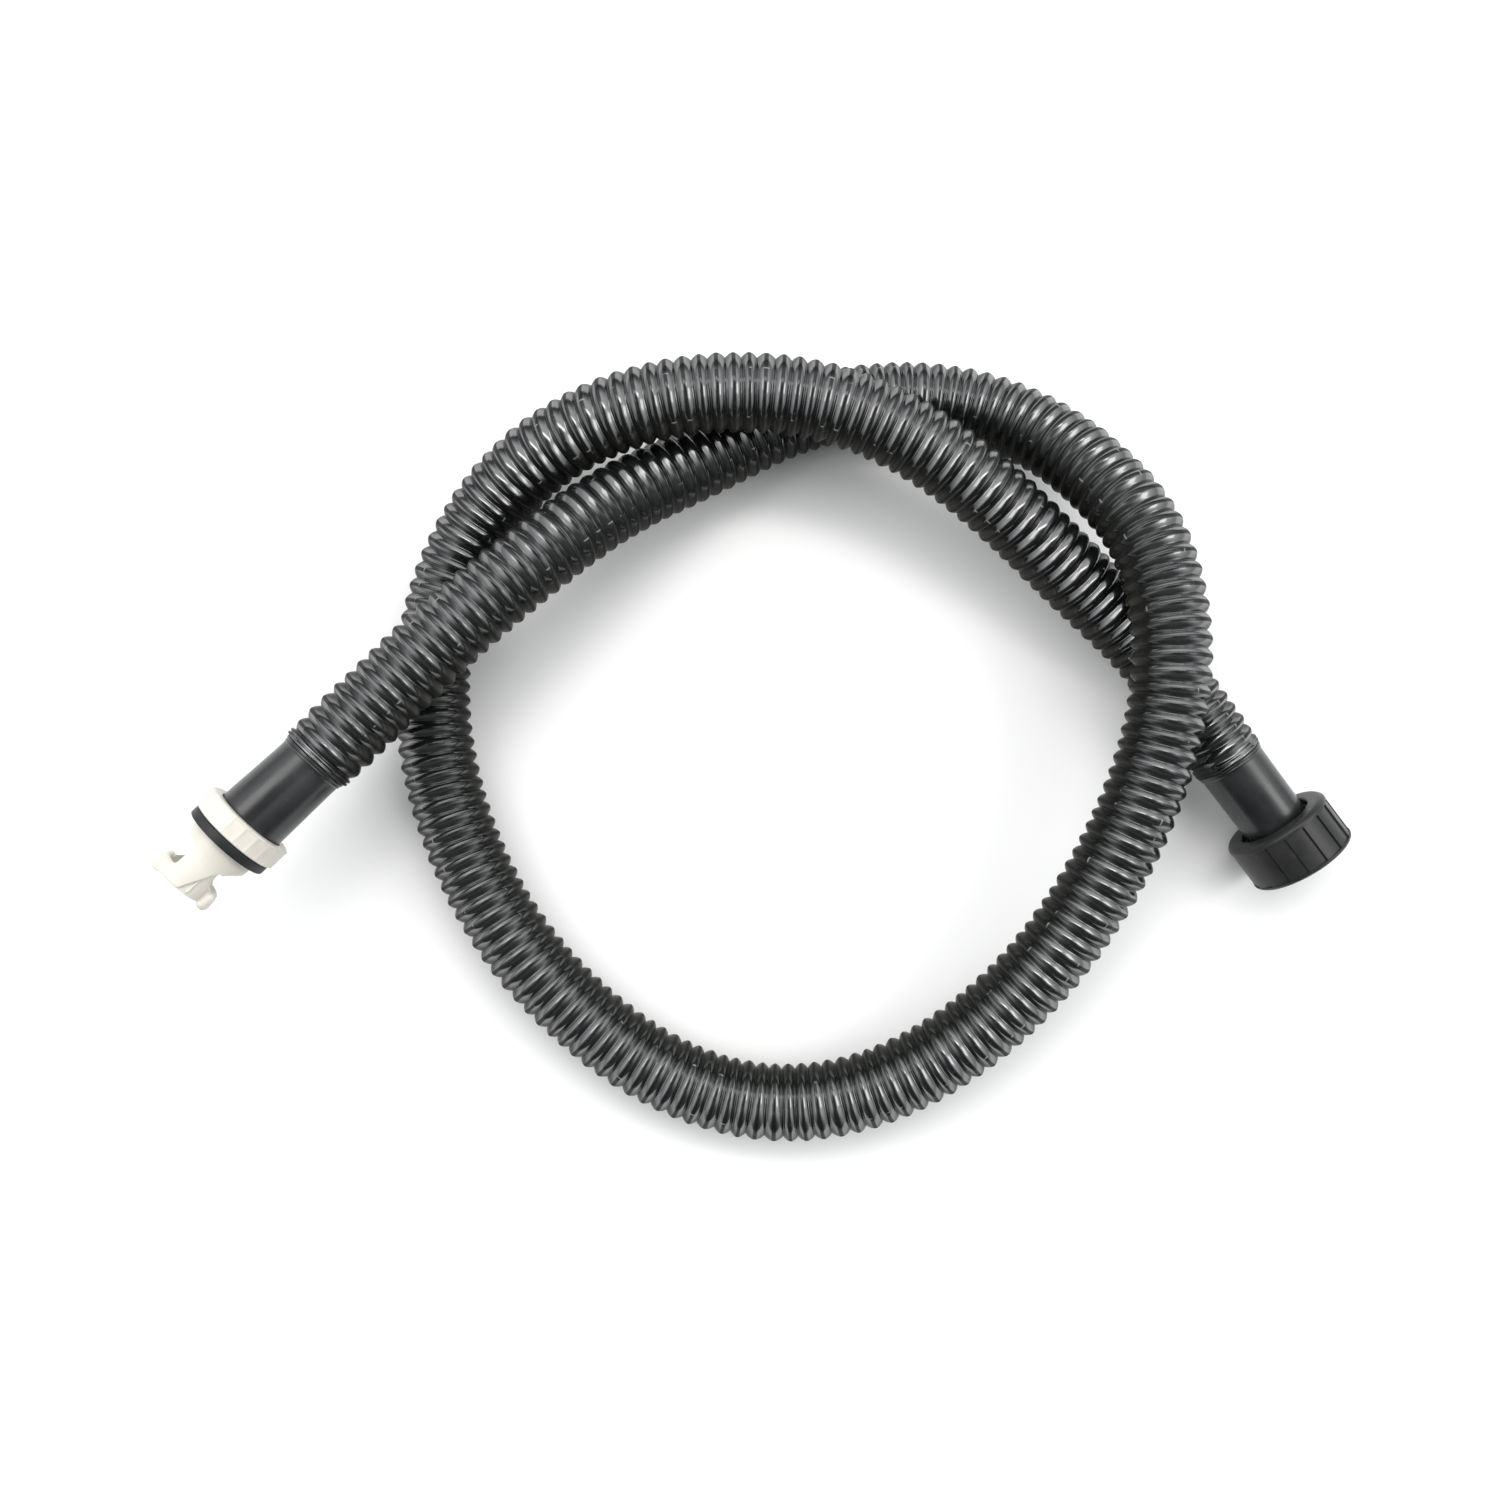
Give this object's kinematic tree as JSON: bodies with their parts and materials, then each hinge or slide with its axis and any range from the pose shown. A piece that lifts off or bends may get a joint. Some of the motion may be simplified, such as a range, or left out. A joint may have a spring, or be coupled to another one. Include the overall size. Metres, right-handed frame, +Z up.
{
  "type": "vacuum hose",
  "caption": "Flexible corrugated black hose in a loose overhand loop, with a large union nut at one end and a slim union nut with a two-claw bayonet adaptor at the other.",
  "frame": {"origin": "on the floor under the middle of the box round the two end fittings, without the hose between them", "axes": "+X runs from the valve fitting to the pump fitting, +Z is up from the floor the hose lies on, and the hose's loop reaches towards -Y and +Y"},
  "size_m": [0.6404, 0.4413, 0.1004],
  "materials": {
    "hose": "satin black polyethylene, blow moulded",
    "cuff": "satin black soft plastic",
    "black_plastic": "semi-matt injection-moulded black plastic",
    "white_plastic": "satin cream-white injection-moulded plastic",
    "rubber": "matt black rubber"
  },
  "bodies": {
    "root": {"hose": "hose", "pump_cuff": "cuff", "pump_tailpiece": "black_plastic", "pump_face_seal": "rubber", "valve_cuff": "cuff", "valve_tailpiece": "white_plastic", "valve_face_seal": "rubber"},
    "slip_ring": {"pump_slip_ring": "black_plastic"},
    "pump_nut": {"pump_union_nut": "black_plastic"},
    "valve_nut": {"valve_union_nut": "white_plastic"},
    "adaptor": {"bayonet_adaptor": "white_plastic", "valve_gasket": "rubber"}
  },
  "joints": [
    {"name": "pump_ring_slide", "type": "slide", "parent": "root", "child": "slip_ring", "axis": [-0.5976, 0.8018, 0], "range_m": [0, 0.022]},
    {"name": "pump_nut_spin", "type": "hinge", "parent": "slip_ring", "child": "pump_nut", "pos_m": [0.28408, -0.00679, 0.0298], "axis": [0.5976, -0.8018, 0], "continuous": true},
    {"name": "valve_nut_turn", "type": "hinge", "parent": "root", "child": "valve_nut", "pos_m": [-0.27971, -0.00348, 0.07609], "axis": [0.6982, 0.7055, -0.1219], "range_deg": [0, 360]},
    {"name": "adaptor_travel", "type": "slide", "parent": "root", "child": "adaptor", "axis": [-0.6982, -0.7055, 0.1219], "range_m": [0, 0.004]}
  ],
  "couplings": [
    {"joint": "adaptor_travel", "follows": "valve_nut_turn", "m_per_rad": 0.00063662}
  ]
}
